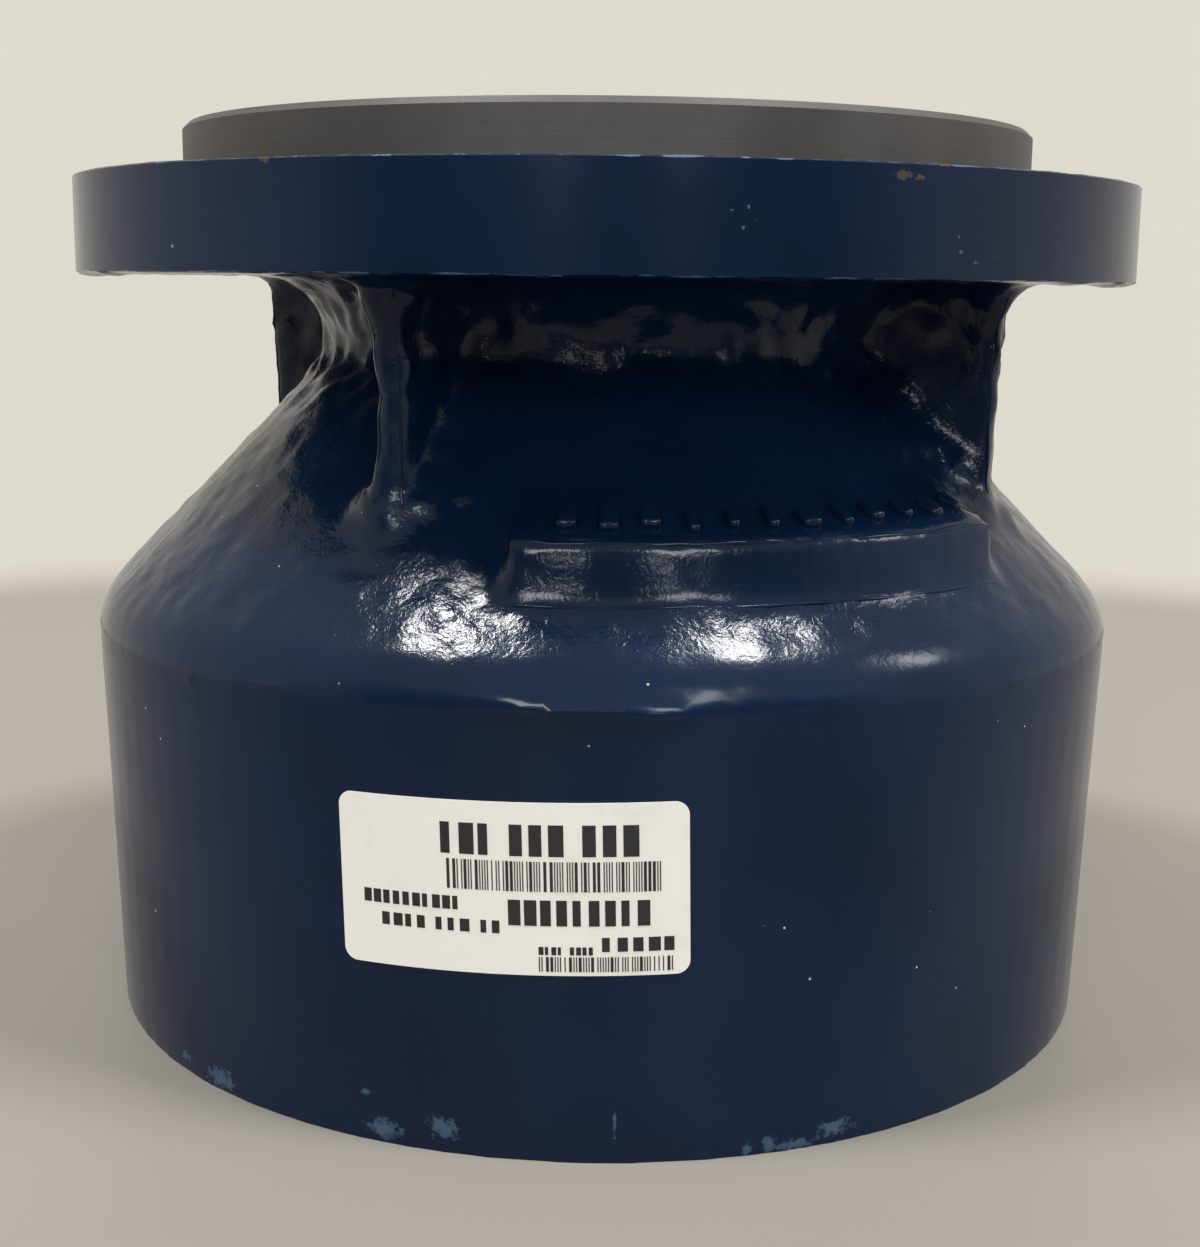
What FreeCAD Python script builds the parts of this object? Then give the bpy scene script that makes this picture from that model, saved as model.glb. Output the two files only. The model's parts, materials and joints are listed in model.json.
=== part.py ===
import FreeCAD, Part
import math
import os
import Sketcher
from FreeCAD import Placement, Rotation, Vector

# Intermediate bowl of a turbine pump, standing on its open rim.
# Millimetres, origin at the centre of the rim's face, +Z up along the shaft.
# The label faces -Y. Angles run from -Y towards +X.

SIZES = (
    # Registers: the spigot on top enters the rim of the next bowl
    ("spigot_radius", 73.0, "spigot on the flange"),
    ("spigot_rise", 9.0, "height of the spigot"),
    ("spigot_chamfer", 1.0, "lead on the spigot"),
    ("register_clearance", 0.05, "radial clearance of a spigot in a rim"),
    ("register_gap", 1.0, "extra depth of the rim's bore past the spigot"),
    # Outside of the casting, from the rim upwards
    ("rim_wall", 14.15, "wall of the rim at its register"),
    ("rim_draft", 2.1, "how much wider the rim is at the parting line"),
    ("parting_height", 66.0, "height of the mould's parting line"),
    ("shoulder_inset", 0.4, "how far the shoulder draws in above the parting line"),
    ("shoulder_rise", 4.8, "parting line to the start of the cone"),
    ("shoulder_blend", 4.28, "where the shoulder's round to the cone starts, short of the corner"),
    ("cone_rise", 40.8, "height of the cone"),
    ("neck_radius", 49.5, "outside of the neck"),
    ("neck_length", 13.8, "top of the cone to the flange"),
    ("neck_flare", 9.5, "how far the neck flares out below the flange"),
    ("flange_width", 18.0, "flange outside the spigot"),
    ("flange_thickness", 15.6, "thickness of the flange"),
    # Waterway in the casting
    ("chamber_step", 2.05, "step from the register in to the impeller chamber"),
    ("chamber_rise", 34.0, "height of the impeller chamber"),
    ("chamber_flare", 11.0, "height over which it opens into the diffuser"),
    ("passage_wall", 9.3, "wall of the diffuser at the parting line"),
    ("cone_wall", 8.0, "wall of the cone"),
    ("neck_wall", 6.5, "wall of the neck"),
    ("throat_ease", 5.0, "height of the eased corner from cone to throat, each side"),
    ("skirt_step", 4.5, "step from the throat out to the bore for the next impeller's skirt"),
    ("skirt_bore_length", 11.0, "length of that bore"),
    ("dish_rim", 7.0, "flat rim of the spigot's face round its dished seat"),
    ("dish_floor", 6.5, "width of the seat's floor"),
    ("dish_depth", 8.0, "depth of the seat"),
    # Bearing, from the shaft outwards
    ("shaft_radius", 12.7, "radius of the shaft"),
    ("shaft_clearance", 0.05, "radial running clearance"),
    ("lining_wall", 2.75, "thickness of the rubber lining"),
    ("shell_wall", 2.5, "thickness of the bearing shell"),
    ("bearing_length", 60.0, "length of the bearing shell"),
    ("bearing_inset", 3.0, "top of the bearing shell below the hub's tip"),
    ("bearing_chamfer", 0.8, "lead on the end that is pressed in first"),
    ("lining_inset", 1.0, "lining's ends inside the shell's ends"),
    ("flute_count", 6, "flutes in the lining"),
    ("flute_radius", 1.5, "radius of a flute"),
    # Hub round the bearing
    ("boss_wall", 6.0, "wall of the bearing boss"),
    ("hub_lift", 6.0, "impeller chamber's top to the hub's lower face"),
    ("passage_width", 18.0, "diffuser's width at the hub's rim"),
    ("hub_rim", 8.0, "height of the hub's straight rim"),
    ("hub_tip_length", 15.2, "straight tip of the hub, above the throat"),
    ("hub_tip_bevel", 3.0, "bevel on the tip"),
    ("hub_wall", 6.0, "wall round the hub's cored pocket"),
    # Diffuser vanes
    ("vane_count", 7, "number of vanes"),
    ("vane_setback", 1.0, "leading edges above the hub's lower face"),
    ("vane_rise", 3.2, "trailing edges above the throat"),
    ("vane_thickness", 3.8, "thickness of a vane"),
    ("vane_curl", 0.5, "radius that a vane curves to, as a share of the passage's radius"),
    ("vane_root", 2.5, "depth of a vane's root in hub and shell"),
    # Webs between cone and flange
    ("web_count", 4, "number of webs"),
    ("web_angle", -26.4, "angle of the first web"),
    ("web_thickness", 4.6, "thickness of a web"),
    ("web_width", 21.0, "outer edge of a web out from the neck, at the cone"),
    ("web_flare", 2.0, "how much wider a web is at the flange"),
    ("web_root", 3.0, "depth of a web's root in the casting"),
    # Ledge on the cone
    ("ledge_angle", 20.0, "middle of the ledge"),
    ("ledge_span", 60.0, "angle that the ledge covers"),
    ("ledge_foot_rise", 9.3, "foot of the ledge above the shoulder"),
    ("ledge_face_rise", 9.1, "height of the ledge's face"),
    ("ledge_top_rise", 5.9, "rise of the ledge's top back to the cone"),
    ("ledge_reach", 7.5, "how far the ledge's edge stands out from the cone"),
    ("ledge_root", 4.0, "depth of the ledge's root in the cone"),
    # Bolts
    ("bolt_inset", 7.0, "bolt circle outside the spigot"),
    ("bolt_count", 8, "bolts in each set"),
    ("bolt_hole_radius", 4.4, "clearance hole in the flange"),
    ("tapped_hole_radius", 3.3, "tapped hole in the rim"),
    ("tapped_hole_depth", 18.0, "depth of the tapped hole"),
    # Label on the rim
    ("label_width", 50.8, "width of the label, round the rim"),
    ("label_rise", 25.4, "height of the label"),
    ("label_corner", 2.0, "corner radius"),
    ("label_thickness", 0.15, "paper and adhesive"),
    ("label_middle", 41.4, "height of the label's middle"),
    ("label_angle", -8.2, "angle of the label's middle"),
    ("label_tilt", 1.2, "how far it was stuck on askew"),
)

doc = FreeCAD.newDocument("pump_bowl")
sheet = doc.addObject("Spreadsheet::Sheet", "Size")
for row, (alias, value, note) in enumerate(SIZES, start=1):
    sheet.set(f"A{row}", note)
    sheet.set(f"B{row}", str(value))
    sheet.setAlias(f"B{row}", alias)
doc.recompute()

# Radii of the outside
REGISTER_RADIUS = "(Size.spigot_radius + Size.register_clearance)"
BASE_RADIUS = f"({REGISTER_RADIUS} + Size.rim_wall)"
PARTING_RADIUS = f"({BASE_RADIUS} + Size.rim_draft)"
SHOULDER_RADIUS = f"({PARTING_RADIUS} - Size.shoulder_inset)"
FLANGE_RADIUS = "(Size.spigot_radius + Size.flange_width)"
BOLT_CIRCLE_RADIUS = "(Size.spigot_radius + Size.bolt_inset)"

# Heights of the outside, each from the one below
SHOULDER = "(Size.parting_height + Size.shoulder_rise)"
NECK = f"({SHOULDER} + Size.cone_rise)"
FLANGE_BOTTOM = f"({NECK} + Size.neck_length)"
FLANGE_TOP = f"({FLANGE_BOTTOM} + Size.flange_thickness)"
TOP = f"({FLANGE_TOP} + Size.spigot_rise)"

# The neck flares to the flange in two steps, with a knee where a round would pass
FLARE_KNEE = "(Size.neck_flare * (1 - cos(45 deg)))"

# The cone: radius lost for each millimetre of height, and what its wall takes along a radius
CONE_SLOPE = f"(({SHOULDER_RADIUS} - Size.neck_radius) / Size.cone_rise)"
WALL_ACROSS = f"(Size.cone_wall * sqrt(1 + {CONE_SLOPE}^2))"
SHOULDER_TURN = f"(atan({CONE_SLOPE}) - atan(Size.shoulder_inset / Size.shoulder_rise))"
SHOULDER_ROUND = f"(Size.shoulder_blend / tan({SHOULDER_TURN} / 2))"


def cone_at(height):
    """Outside radius of the cone at a height."""
    return f"({SHOULDER_RADIUS} - {CONE_SLOPE} * ({height} - {SHOULDER}))"


def cone_height_at(radius):
    """Height where the outside of the cone has a radius."""
    return f"({SHOULDER} + ({SHOULDER_RADIUS} - {radius}) / {CONE_SLOPE})"


def rim_at(height):
    """Outside radius of the rim at a height."""
    return f"({BASE_RADIUS} + Size.rim_draft * {height} / Size.parting_height)"


# The waterway, from the rim's register up to the dished seat
REGISTER_DEPTH = "(Size.spigot_rise + Size.register_gap)"
CHAMBER_RADIUS = f"({REGISTER_RADIUS} - Size.chamber_step)"
CHAMBER_TOP = f"({REGISTER_DEPTH} + Size.chamber_rise)"
PASSAGE_RADIUS = f"({PARTING_RADIUS} - Size.passage_wall)"
PASSAGE_BOTTOM = f"({CHAMBER_TOP} + Size.chamber_flare)"
PASSAGE_TOP = cone_height_at(f"({PASSAGE_RADIUS} + {WALL_ACROSS})")
THROAT_RADIUS = "(Size.neck_radius - Size.neck_wall)"
THROAT = cone_height_at(f"({THROAT_RADIUS} + {WALL_ACROSS})")
SKIRT_RADIUS = f"({THROAT_RADIUS} + Size.skirt_step)"
DISH_FLOOR = f"({TOP} - Size.dish_depth)"
SKIRT_BOTTOM = f"({DISH_FLOOR} - Size.skirt_bore_length)"

# The bearing's radii, and the hub that holds it
LINING_BORE = "(Size.shaft_radius + Size.shaft_clearance)"
LINING_RADIUS = f"({LINING_BORE} + Size.lining_wall)"
BEARING_RADIUS = f"({LINING_RADIUS} + Size.shell_wall)"
TIP_RADIUS = f"({BEARING_RADIUS} + Size.boss_wall)"
HUB_RADIUS = f"({PASSAGE_RADIUS} - Size.passage_width)"
HUB_BOTTOM = f"({CHAMBER_TOP} + Size.hub_lift)"
HUB_RIM_TOP = f"({HUB_BOTTOM} + Size.hub_rim)"
HUB_TOP = f"({THROAT} + Size.hub_tip_length)"
HUB_SLOPE = f"(({HUB_RADIUS} - {TIP_RADIUS}) / ({THROAT} - {HUB_RIM_TOP}))"
POCKET_RADIUS = f"({HUB_RADIUS} - Size.hub_wall * sqrt(1 + {HUB_SLOPE}^2))"
POCKET_TOP = f"({HUB_RIM_TOP} + ({POCKET_RADIUS} - {TIP_RADIUS}) / {HUB_SLOPE})"
BEARING_TOP = f"({HUB_TOP} - Size.bearing_inset)"
BEARING_BOTTOM = f"({BEARING_TOP} - Size.bearing_length)"

# A vane is an arc seen from above. It starts along a radius inside the tip's wall, and its
# span comes from the circle that it has to reach inside the passage's wall.
VANE_BOTTOM = f"({HUB_BOTTOM} + Size.vane_setback)"
VANE_TOP = f"({THROAT} + Size.vane_rise)"
VANE_START = f"({TIP_RADIUS} - Size.vane_root)"
VANE_REACH = f"({PASSAGE_RADIUS} + Size.vane_root)"
VANE_BEND = f"(Size.vane_curl * {PASSAGE_RADIUS})"
VANE_CHORDS = f"({VANE_REACH}^2 - {VANE_START}^2 - 2 * {VANE_BEND}^2)"
VANE_SCALE = f"(2 * {VANE_BEND} * sqrt({VANE_START}^2 + {VANE_BEND}^2))"
VANE_SPAN = f"atan({VANE_BEND} / {VANE_START}) + asin({VANE_CHORDS} / {VANE_SCALE})"


def amount(expression):
    """Value of an expression in the sheet's sizes."""
    return float(sheet.evalExpression(expression))


def new_body(label):
    body = doc.addObject("PartDesign::Body", label)
    body.Label = label
    return body


def origin_feature(body, role):
    return next(feature for feature in body.Origin.OriginFeatures if feature.Role == role)


def level_sketch(body, name, height):
    """Sketch on a level plane at a height."""
    sketch = body.newObject("Sketcher::SketchObject", name)
    sketch.AttachmentSupport = [(origin_feature(body, "XY_Plane"), "")]
    sketch.MapMode = "FlatFace"
    sketch.setExpression("AttachmentOffset.Base.z", height)
    return sketch


def upright_sketch(body, name, angle, shift=None):
    """Sketch of radii and heights on the upright plane at an angle, measured from -Y.

    With a shift, its upright axis stands at that X and that distance in front of the XZ plane.
    """
    sketch = body.newObject("Sketcher::SketchObject", name)
    sketch.AttachmentSupport = [(origin_feature(body, "XZ_Plane"), "")]
    sketch.MapMode = "FlatFace"
    turn = f"{angle} - 90"
    sketch.AttachmentOffset = Placement(Vector(), Rotation(Vector(0, 1, 0), amount(turn)))
    sketch.setExpression("AttachmentOffset.Rotation.Angle", turn)
    if shift is not None:
        sketch.setExpression("AttachmentOffset.Base.x", shift[0])
        sketch.setExpression("AttachmentOffset.Base.z", shift[1])
    return sketch


def pin_point(sketch, line, end, across, up):
    """Tie a point of a sketch to its two coordinates."""
    for kind, expression in (("DistanceX", across), ("DistanceY", up)):
        index = sketch.addConstraint(Sketcher.Constraint(kind, line, end, amount(expression)))
        sketch.setExpression(f"Constraints[{index}]", expression)


def pin_radius(sketch, curve, radius):
    """Tie the radius of a circle or an arc."""
    index = sketch.addConstraint(Sketcher.Constraint("Radius", curve, amount(radius)))
    sketch.setExpression(f"Constraints[{index}]", radius)


def draw_circle(sketch, across, up, radius):
    centre = Vector(amount(across), amount(up), 0)
    circle = sketch.addGeometry(Part.Circle(centre, Vector(0, 0, 1), amount(radius)), False)
    pin_point(sketch, circle, 3, across, up)
    pin_radius(sketch, circle, radius)


def draw_round(sketch, arriving, leaving, corner, radius):
    """Tangent arc between two lines that end at its ends, with their corner kept as a point."""
    start = sketch.getPoint(arriving, 2)
    finish = sketch.getPoint(leaving, 1)
    apex = Vector(amount(corner[0]), amount(corner[1]), 0)
    inwards = ((start + finish) / 2 - apex).normalize()
    half_angle = inwards.getAngle(start - apex)
    crown = apex + inwards * amount(radius) * (1 / math.sin(half_angle) - 1)
    arc = sketch.addGeometry(Part.Arc(start, crown, finish), False)
    backwards = (sketch.getPoint(arc, 1) - start).Length > (sketch.getPoint(arc, 2) - start).Length
    first, last = (2, 1) if backwards else (1, 2)
    sketch.addConstraint(Sketcher.Constraint("Tangent", arriving, 2, arc, first))
    sketch.addConstraint(Sketcher.Constraint("Tangent", leaving, 1, arc, last))
    pin_radius(sketch, arc, radius)
    point = sketch.addGeometry(Part.Point(apex), True)
    pin_point(sketch, point, 1, corner[0], corner[1])
    sketch.addConstraint(Sketcher.Constraint("PointOnObject", point, 1, arriving))
    sketch.addConstraint(Sketcher.Constraint("PointOnObject", point, 1, leaving))


def draw_outline(sketch, points):
    """Closed outline of straight lines through corners tied to the sheet.

    A point is its two coordinates, and the radius of its round where it has one.
    """
    corners = [Vector(amount(point[0]), amount(point[1]), 0) for point in points]
    starts = []
    ends = []
    for index, (corner, point) in enumerate(zip(corners, points)):
        before = (corners[index - 1] - corner).normalize()
        after = (corners[(index + 1) % len(corners)] - corner).normalize()
        reach = amount(point[2]) / math.tan(before.getAngle(after) / 2) if len(point) == 3 else 0
        ends.append(corner + before * reach)
        starts.append(corner + after * reach)
    lines = [sketch.addGeometry(Part.LineSegment(start, end), False)
             for start, end in zip(starts, ends[1:] + ends[:1])]
    for index, point in enumerate(points):
        arriving, leaving = lines[index - 1], lines[index]
        if len(point) == 3:
            draw_round(sketch, arriving, leaving, point[:2], point[2])
        else:
            sketch.addConstraint(Sketcher.Constraint("Coincident", arriving, 2, leaving, 1))
            pin_point(sketch, leaving, 1, point[0], point[1])


def turned(body, kind, name, points, angle="90", span="360", shift=None):
    """Revolution or Groove of an outline of radii and heights.

    It turns about the shaft's axis and is centred on the angle. With a shift it turns about the
    sketch's shifted upright axis and starts at the angle.
    """
    sketch = upright_sketch(body, name + "_outline", angle, shift)
    draw_outline(sketch, points)
    feature = body.newObject("PartDesign::" + kind, name)
    feature.Refine = False
    feature.Profile = sketch
    feature.ReferenceAxis = (sketch, ["V_Axis"])
    feature.Midplane = shift is None
    feature.setExpression("Angle", span)
    doc.recompute()
    return feature


def padded(body, name, sketch, length, both_ways=False):
    """Pad of a sketch, away from its plane or to both sides of it."""
    feature = body.newObject("PartDesign::Pad", name)
    feature.Profile = sketch
    feature.Midplane = both_ways
    feature.setExpression("Length", length)
    doc.recompute()
    return feature


def bored(body, name, across, up, radius, bottom, depth):
    """Pocket of one round hole, upwards from a height."""
    sketch = level_sketch(body, name + "_circle", bottom)
    draw_circle(sketch, across, up, radius)
    feature = body.newObject("PartDesign::Pocket", name)
    feature.Profile = sketch
    feature.Reversed = True
    feature.setExpression("Length", depth)
    doc.recompute()
    return feature


def ringed(body, feature, count):
    """Repeat a feature about the shaft's axis."""
    pattern = body.newObject("PartDesign::PolarPattern", feature.Name + "_ring")
    pattern.Originals = [feature]
    pattern.Refine = False
    pattern.Axis = (origin_feature(body, "Z_Axis"), [""])
    pattern.Angle = 360
    pattern.setExpression("Occurrences", count)
    body.Tip = pattern
    doc.recompute()


def led_in(body, name, size, radius, height):
    """Chamfer on the circular edge about the shaft's axis at a radius and a height."""
    base = body.Tip
    names = []
    for index, edge in enumerate(base.Shape.Edges, start=1):
        curve = edge.Curve
        if not isinstance(curve, Part.Circle) or abs(curve.Radius - amount(radius)) > 0.01:
            continue
        if (curve.Center - Vector(0, 0, amount(height))).Length < 0.01:
            names.append(f"Edge{index}")
    if not names:
        raise RuntimeError(f"{name} finds no edge")
    feature = body.newObject("PartDesign::Chamfer", name)
    feature.Base = (base, names)
    feature.setExpression("Size", size)
    doc.recompute()


# Diffuser vanes: upright walls that leave the hub's tip along a radius and bend round to meet
# the swirl at the rim. They are cut back to their roots before shell and hub close on them.
casting = new_body("bowl_casting")
VANE_INNER = f"{VANE_BEND} - Size.vane_thickness / 2"
VANE_OUTER = f"{VANE_BEND} + Size.vane_thickness / 2"
vane = turned(casting, "Revolution", "vane", (
    (VANE_INNER, VANE_BOTTOM),
    (VANE_OUTER, VANE_BOTTOM),
    (VANE_OUTER, VANE_TOP),
    (VANE_INNER, VANE_TOP),
), "0", VANE_SPAN, (VANE_START, f"-{VANE_BEND}"))
ringed(casting, vane, "Size.vane_count")
turned(casting, "Groove", "vane_outer_trim", (
    (f"{CHAMBER_RADIUS} + Size.vane_root", CHAMBER_TOP),
    (VANE_REACH, PASSAGE_BOTTOM),
    (VANE_REACH, PASSAGE_TOP),
    (f"{THROAT_RADIUS} + Size.vane_root", THROAT),
    (f"{THROAT_RADIUS} + Size.vane_root", SKIRT_BOTTOM),
    (f"2 * {PASSAGE_RADIUS}", SKIRT_BOTTOM),
    (f"2 * {PASSAGE_RADIUS}", CHAMBER_TOP),
))
turned(casting, "Groove", "vane_inner_trim", (
    ("0", HUB_BOTTOM),
    (f"{HUB_RADIUS} - Size.vane_root", HUB_BOTTOM),
    (f"{HUB_RADIUS} - Size.vane_root", HUB_RIM_TOP),
    (VANE_START, THROAT),
    (VANE_START, HUB_TOP),
    ("0", HUB_TOP),
))

# Shell of the casting: rim, cone, neck, flange and spigot round one waterway
turned(casting, "Revolution", "bowl_shell", (
    (REGISTER_RADIUS, "0"),
    (BASE_RADIUS, "0"),
    (PARTING_RADIUS, "Size.parting_height"),
    (SHOULDER_RADIUS, SHOULDER, SHOULDER_ROUND),
    ("Size.neck_radius", NECK),
    ("Size.neck_radius", f"{FLANGE_BOTTOM} - Size.neck_flare"),
    (f"Size.neck_radius + {FLARE_KNEE}", f"{FLANGE_BOTTOM} - {FLARE_KNEE}"),
    ("Size.neck_radius + Size.neck_flare", FLANGE_BOTTOM),
    (FLANGE_RADIUS, FLANGE_BOTTOM),
    (FLANGE_RADIUS, FLANGE_TOP),
    ("Size.spigot_radius", FLANGE_TOP),
    ("Size.spigot_radius", TOP),
    ("Size.spigot_radius - Size.dish_rim", TOP),
    (f"{SKIRT_RADIUS} + Size.dish_floor", DISH_FLOOR),
    (SKIRT_RADIUS, DISH_FLOOR),
    (SKIRT_RADIUS, SKIRT_BOTTOM),
    (THROAT_RADIUS, SKIRT_BOTTOM),
    (THROAT_RADIUS, f"{THROAT} + Size.throat_ease"),
    (f"{THROAT_RADIUS} + {CONE_SLOPE} * Size.throat_ease", f"{THROAT} - Size.throat_ease"),
    (PASSAGE_RADIUS, PASSAGE_TOP),
    (PASSAGE_RADIUS, PASSAGE_BOTTOM),
    (CHAMBER_RADIUS, CHAMBER_TOP),
    (CHAMBER_RADIUS, REGISTER_DEPTH),
    (REGISTER_RADIUS, REGISTER_DEPTH),
))
led_in(casting, "spigot_lead", "Size.spigot_chamfer", "Size.spigot_radius", TOP)

# Hub, carried by the vanes: a tapered wall with a bearing boss inside its cored pocket
turned(casting, "Revolution", "hub", (
    (BEARING_RADIUS, HUB_BOTTOM),
    (TIP_RADIUS, HUB_BOTTOM),
    (TIP_RADIUS, POCKET_TOP),
    (POCKET_RADIUS, HUB_RIM_TOP),
    (POCKET_RADIUS, HUB_BOTTOM),
    (HUB_RADIUS, HUB_BOTTOM),
    (HUB_RADIUS, HUB_RIM_TOP),
    (TIP_RADIUS, THROAT),
    (TIP_RADIUS, f"{HUB_TOP} - Size.hub_tip_bevel"),
    (f"{TIP_RADIUS} - Size.hub_tip_bevel", HUB_TOP),
    (BEARING_RADIUS, HUB_TOP),
))

# Webs that prop the flange on the cone
WEB_INNER = "(Size.neck_radius - Size.web_root)"
WEB_FOOT_RADIUS = "(Size.neck_radius + Size.web_width)"
WEB_HEAD_RADIUS = f"({WEB_FOOT_RADIUS} + Size.web_flare)"
web_outline = upright_sketch(casting, "web_outline", "Size.web_angle")
draw_outline(web_outline, (
    (WEB_INNER, f"{NECK} - Size.web_root"),
    (WEB_FOOT_RADIUS, f"{cone_height_at(WEB_FOOT_RADIUS)} - Size.web_root"),
    (WEB_HEAD_RADIUS, FLANGE_BOTTOM),
    (WEB_HEAD_RADIUS, f"{FLANGE_BOTTOM} + Size.web_root"),
    (WEB_INNER, f"{FLANGE_BOTTOM} + Size.web_root"),
))
ringed(casting, padded(casting, "web", web_outline, "Size.web_thickness", True), "Size.web_count")

# Ledge on the cone
LEDGE_FOOT = f"({SHOULDER} + Size.ledge_foot_rise)"
LEDGE_EDGE = f"({LEDGE_FOOT} + Size.ledge_face_rise)"
LEDGE_HEAD = f"({LEDGE_EDGE} + Size.ledge_top_rise)"
turned(casting, "Revolution", "ledge", (
    (f"{cone_at(LEDGE_FOOT)} - Size.ledge_root", LEDGE_FOOT),
    (cone_at(LEDGE_FOOT), LEDGE_FOOT),
    (f"{cone_at(LEDGE_EDGE)} + Size.ledge_reach", LEDGE_EDGE),
    (cone_at(LEDGE_HEAD), LEDGE_HEAD),
    (f"{cone_at(LEDGE_HEAD)} - Size.ledge_root", LEDGE_HEAD),
), "Size.ledge_angle", "Size.ledge_span")

# Bolt holes through the flange and tapped holes in the rim, on one circle, clear of the webs
BOLT_ANGLE = "(Size.web_angle - 90 + 180 / Size.bolt_count) * 1 deg"
BOLT_X = f"{BOLT_CIRCLE_RADIUS} * cos({BOLT_ANGLE})"
BOLT_Y = f"{BOLT_CIRCLE_RADIUS} * sin({BOLT_ANGLE})"
ringed(casting, bored(casting, "flange_hole", BOLT_X, BOLT_Y, "Size.bolt_hole_radius",
                      FLANGE_BOTTOM, "Size.flange_thickness"), "Size.bolt_count")
ringed(casting, bored(casting, "tapped_hole", BOLT_X, BOLT_Y, "Size.tapped_hole_radius",
                      "0", "Size.tapped_hole_depth"), "Size.bolt_count")

# Bronze shell pressed into the hub
bearing_shell = new_body("bearing_shell")
turned(bearing_shell, "Revolution", "shell_tube", (
    (LINING_RADIUS, BEARING_BOTTOM),
    (BEARING_RADIUS, BEARING_BOTTOM),
    (BEARING_RADIUS, BEARING_TOP),
    (LINING_RADIUS, BEARING_TOP),
))
led_in(bearing_shell, "shell_lead", "Size.bearing_chamfer", BEARING_RADIUS, BEARING_BOTTOM)

# Rubber lining bonded in the shell, with flutes that carry water and grit past the shaft
LINING_BOTTOM = f"({BEARING_BOTTOM} + Size.lining_inset)"
LINING_TOP = f"({BEARING_TOP} - Size.lining_inset)"
bearing_lining = new_body("bearing_lining")
turned(bearing_lining, "Revolution", "lining_tube", (
    (LINING_BORE, LINING_BOTTOM),
    (LINING_RADIUS, LINING_BOTTOM),
    (LINING_RADIUS, LINING_TOP),
    (LINING_BORE, LINING_TOP),
))
ringed(bearing_lining, bored(bearing_lining, "flute", LINING_BORE, "0", "Size.flute_radius",
                             LINING_BOTTOM, f"{LINING_TOP} - {LINING_BOTTOM}"), "Size.flute_count")

# Paper label: a block through the rim, pared down to a thin sheet on its drafted surface
LABEL_RADIUS = rim_at("Size.label_middle")
LABEL_HALF_CHORD = f"({LABEL_RADIUS} * sin(Size.label_width / (2 * {LABEL_RADIUS}) * 1 rad))"
LABEL_HALF_RISE = "(Size.label_rise / 2)"
LABEL_TURN = "(Size.label_tilt * 1 deg)"
LABEL_REACH = f"(2 * {BASE_RADIUS})"


def label_corner(side, end):
    """A rounded corner of the label, tilted about its middle."""
    across = f"{side} * {LABEL_HALF_CHORD}"
    up = f"{end} * {LABEL_HALF_RISE}"
    return (f"{across} * cos({LABEL_TURN}) - {up} * sin({LABEL_TURN})",
            f"Size.label_middle + {across} * sin({LABEL_TURN}) + {up} * cos({LABEL_TURN})",
            "Size.label_corner")


label = new_body("label")
label_outline = upright_sketch(label, "label_outline", "Size.label_angle + 90")
draw_outline(label_outline, [label_corner(*ends) for ends in ((-1, -1), (1, -1), (1, 1), (-1, 1))])
padded(label, "label_block", label_outline, f"{PARTING_RADIUS} + Size.label_corner")
turned(label, "Groove", "label_back", (
    ("0", "0"),
    (rim_at("0"), "0"),
    (rim_at(SHOULDER), SHOULDER),
    ("0", SHOULDER),
))
turned(label, "Groove", "label_front", (
    (f"{rim_at('0')} + Size.label_thickness", "0"),
    (LABEL_REACH, "0"),
    (LABEL_REACH, SHOULDER),
    (f"{rim_at(SHOULDER)} + Size.label_thickness", SHOULDER),
))

failed = [thing.Name for thing in doc.Objects if "Invalid" in thing.State or "Error" in thing.State]
if failed:
    raise RuntimeError("failed objects: " + ", ".join(failed))
pieces = (casting, bearing_shell, bearing_lining, label)
for piece in pieces:
    if piece.Shape.isNull() or not piece.Shape.isValid() or len(piece.Shape.Solids) != 1:
        raise RuntimeError(f"{piece.Label} isn't one valid solid")
os.makedirs("parts", exist_ok=True)
for piece in pieces:
    piece.Shape.exportStep(f"parts/{piece.Label}.step")
    print(piece.Label, round(piece.Shape.Volume / 1000, 2), "cm3")
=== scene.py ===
"""Looks of a turbine pump bowl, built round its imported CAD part."""
import json
import math
import random

import bmesh
import bpy
import numpy as np
from bpy.props import FloatProperty, FloatVectorProperty, IntProperty, PointerProperty
from mathutils import Matrix, Vector, noise


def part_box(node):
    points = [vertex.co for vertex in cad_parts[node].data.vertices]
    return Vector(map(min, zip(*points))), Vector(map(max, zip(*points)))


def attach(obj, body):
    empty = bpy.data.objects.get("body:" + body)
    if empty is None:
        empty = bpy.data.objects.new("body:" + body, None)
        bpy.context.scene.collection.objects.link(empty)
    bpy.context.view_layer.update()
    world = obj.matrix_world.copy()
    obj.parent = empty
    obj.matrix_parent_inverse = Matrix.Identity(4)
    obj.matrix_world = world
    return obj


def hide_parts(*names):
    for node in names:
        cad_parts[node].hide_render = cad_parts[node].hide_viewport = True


bl_info = {
    "name": "Pump Bowl",
    "version": (1, 0, 0),
    "blender": (4, 5, 0),
    "location": "View3D > Sidebar > Pump Bowl",
    "description": "Casts, machines, paints and labels the bowl of a turbine pump",
    "category": "Object",
}

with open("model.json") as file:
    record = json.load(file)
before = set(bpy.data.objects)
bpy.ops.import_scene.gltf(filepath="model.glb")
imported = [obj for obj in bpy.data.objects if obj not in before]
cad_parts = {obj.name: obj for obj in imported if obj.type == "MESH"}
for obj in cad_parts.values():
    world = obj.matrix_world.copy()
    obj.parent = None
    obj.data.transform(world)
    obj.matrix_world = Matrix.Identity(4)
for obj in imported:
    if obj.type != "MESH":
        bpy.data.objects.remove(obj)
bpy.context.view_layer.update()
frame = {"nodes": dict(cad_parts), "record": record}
MOUNTS = {mount["name"]: mount for mount in frame["record"]["mounts"]}
MM = 0.001


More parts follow.
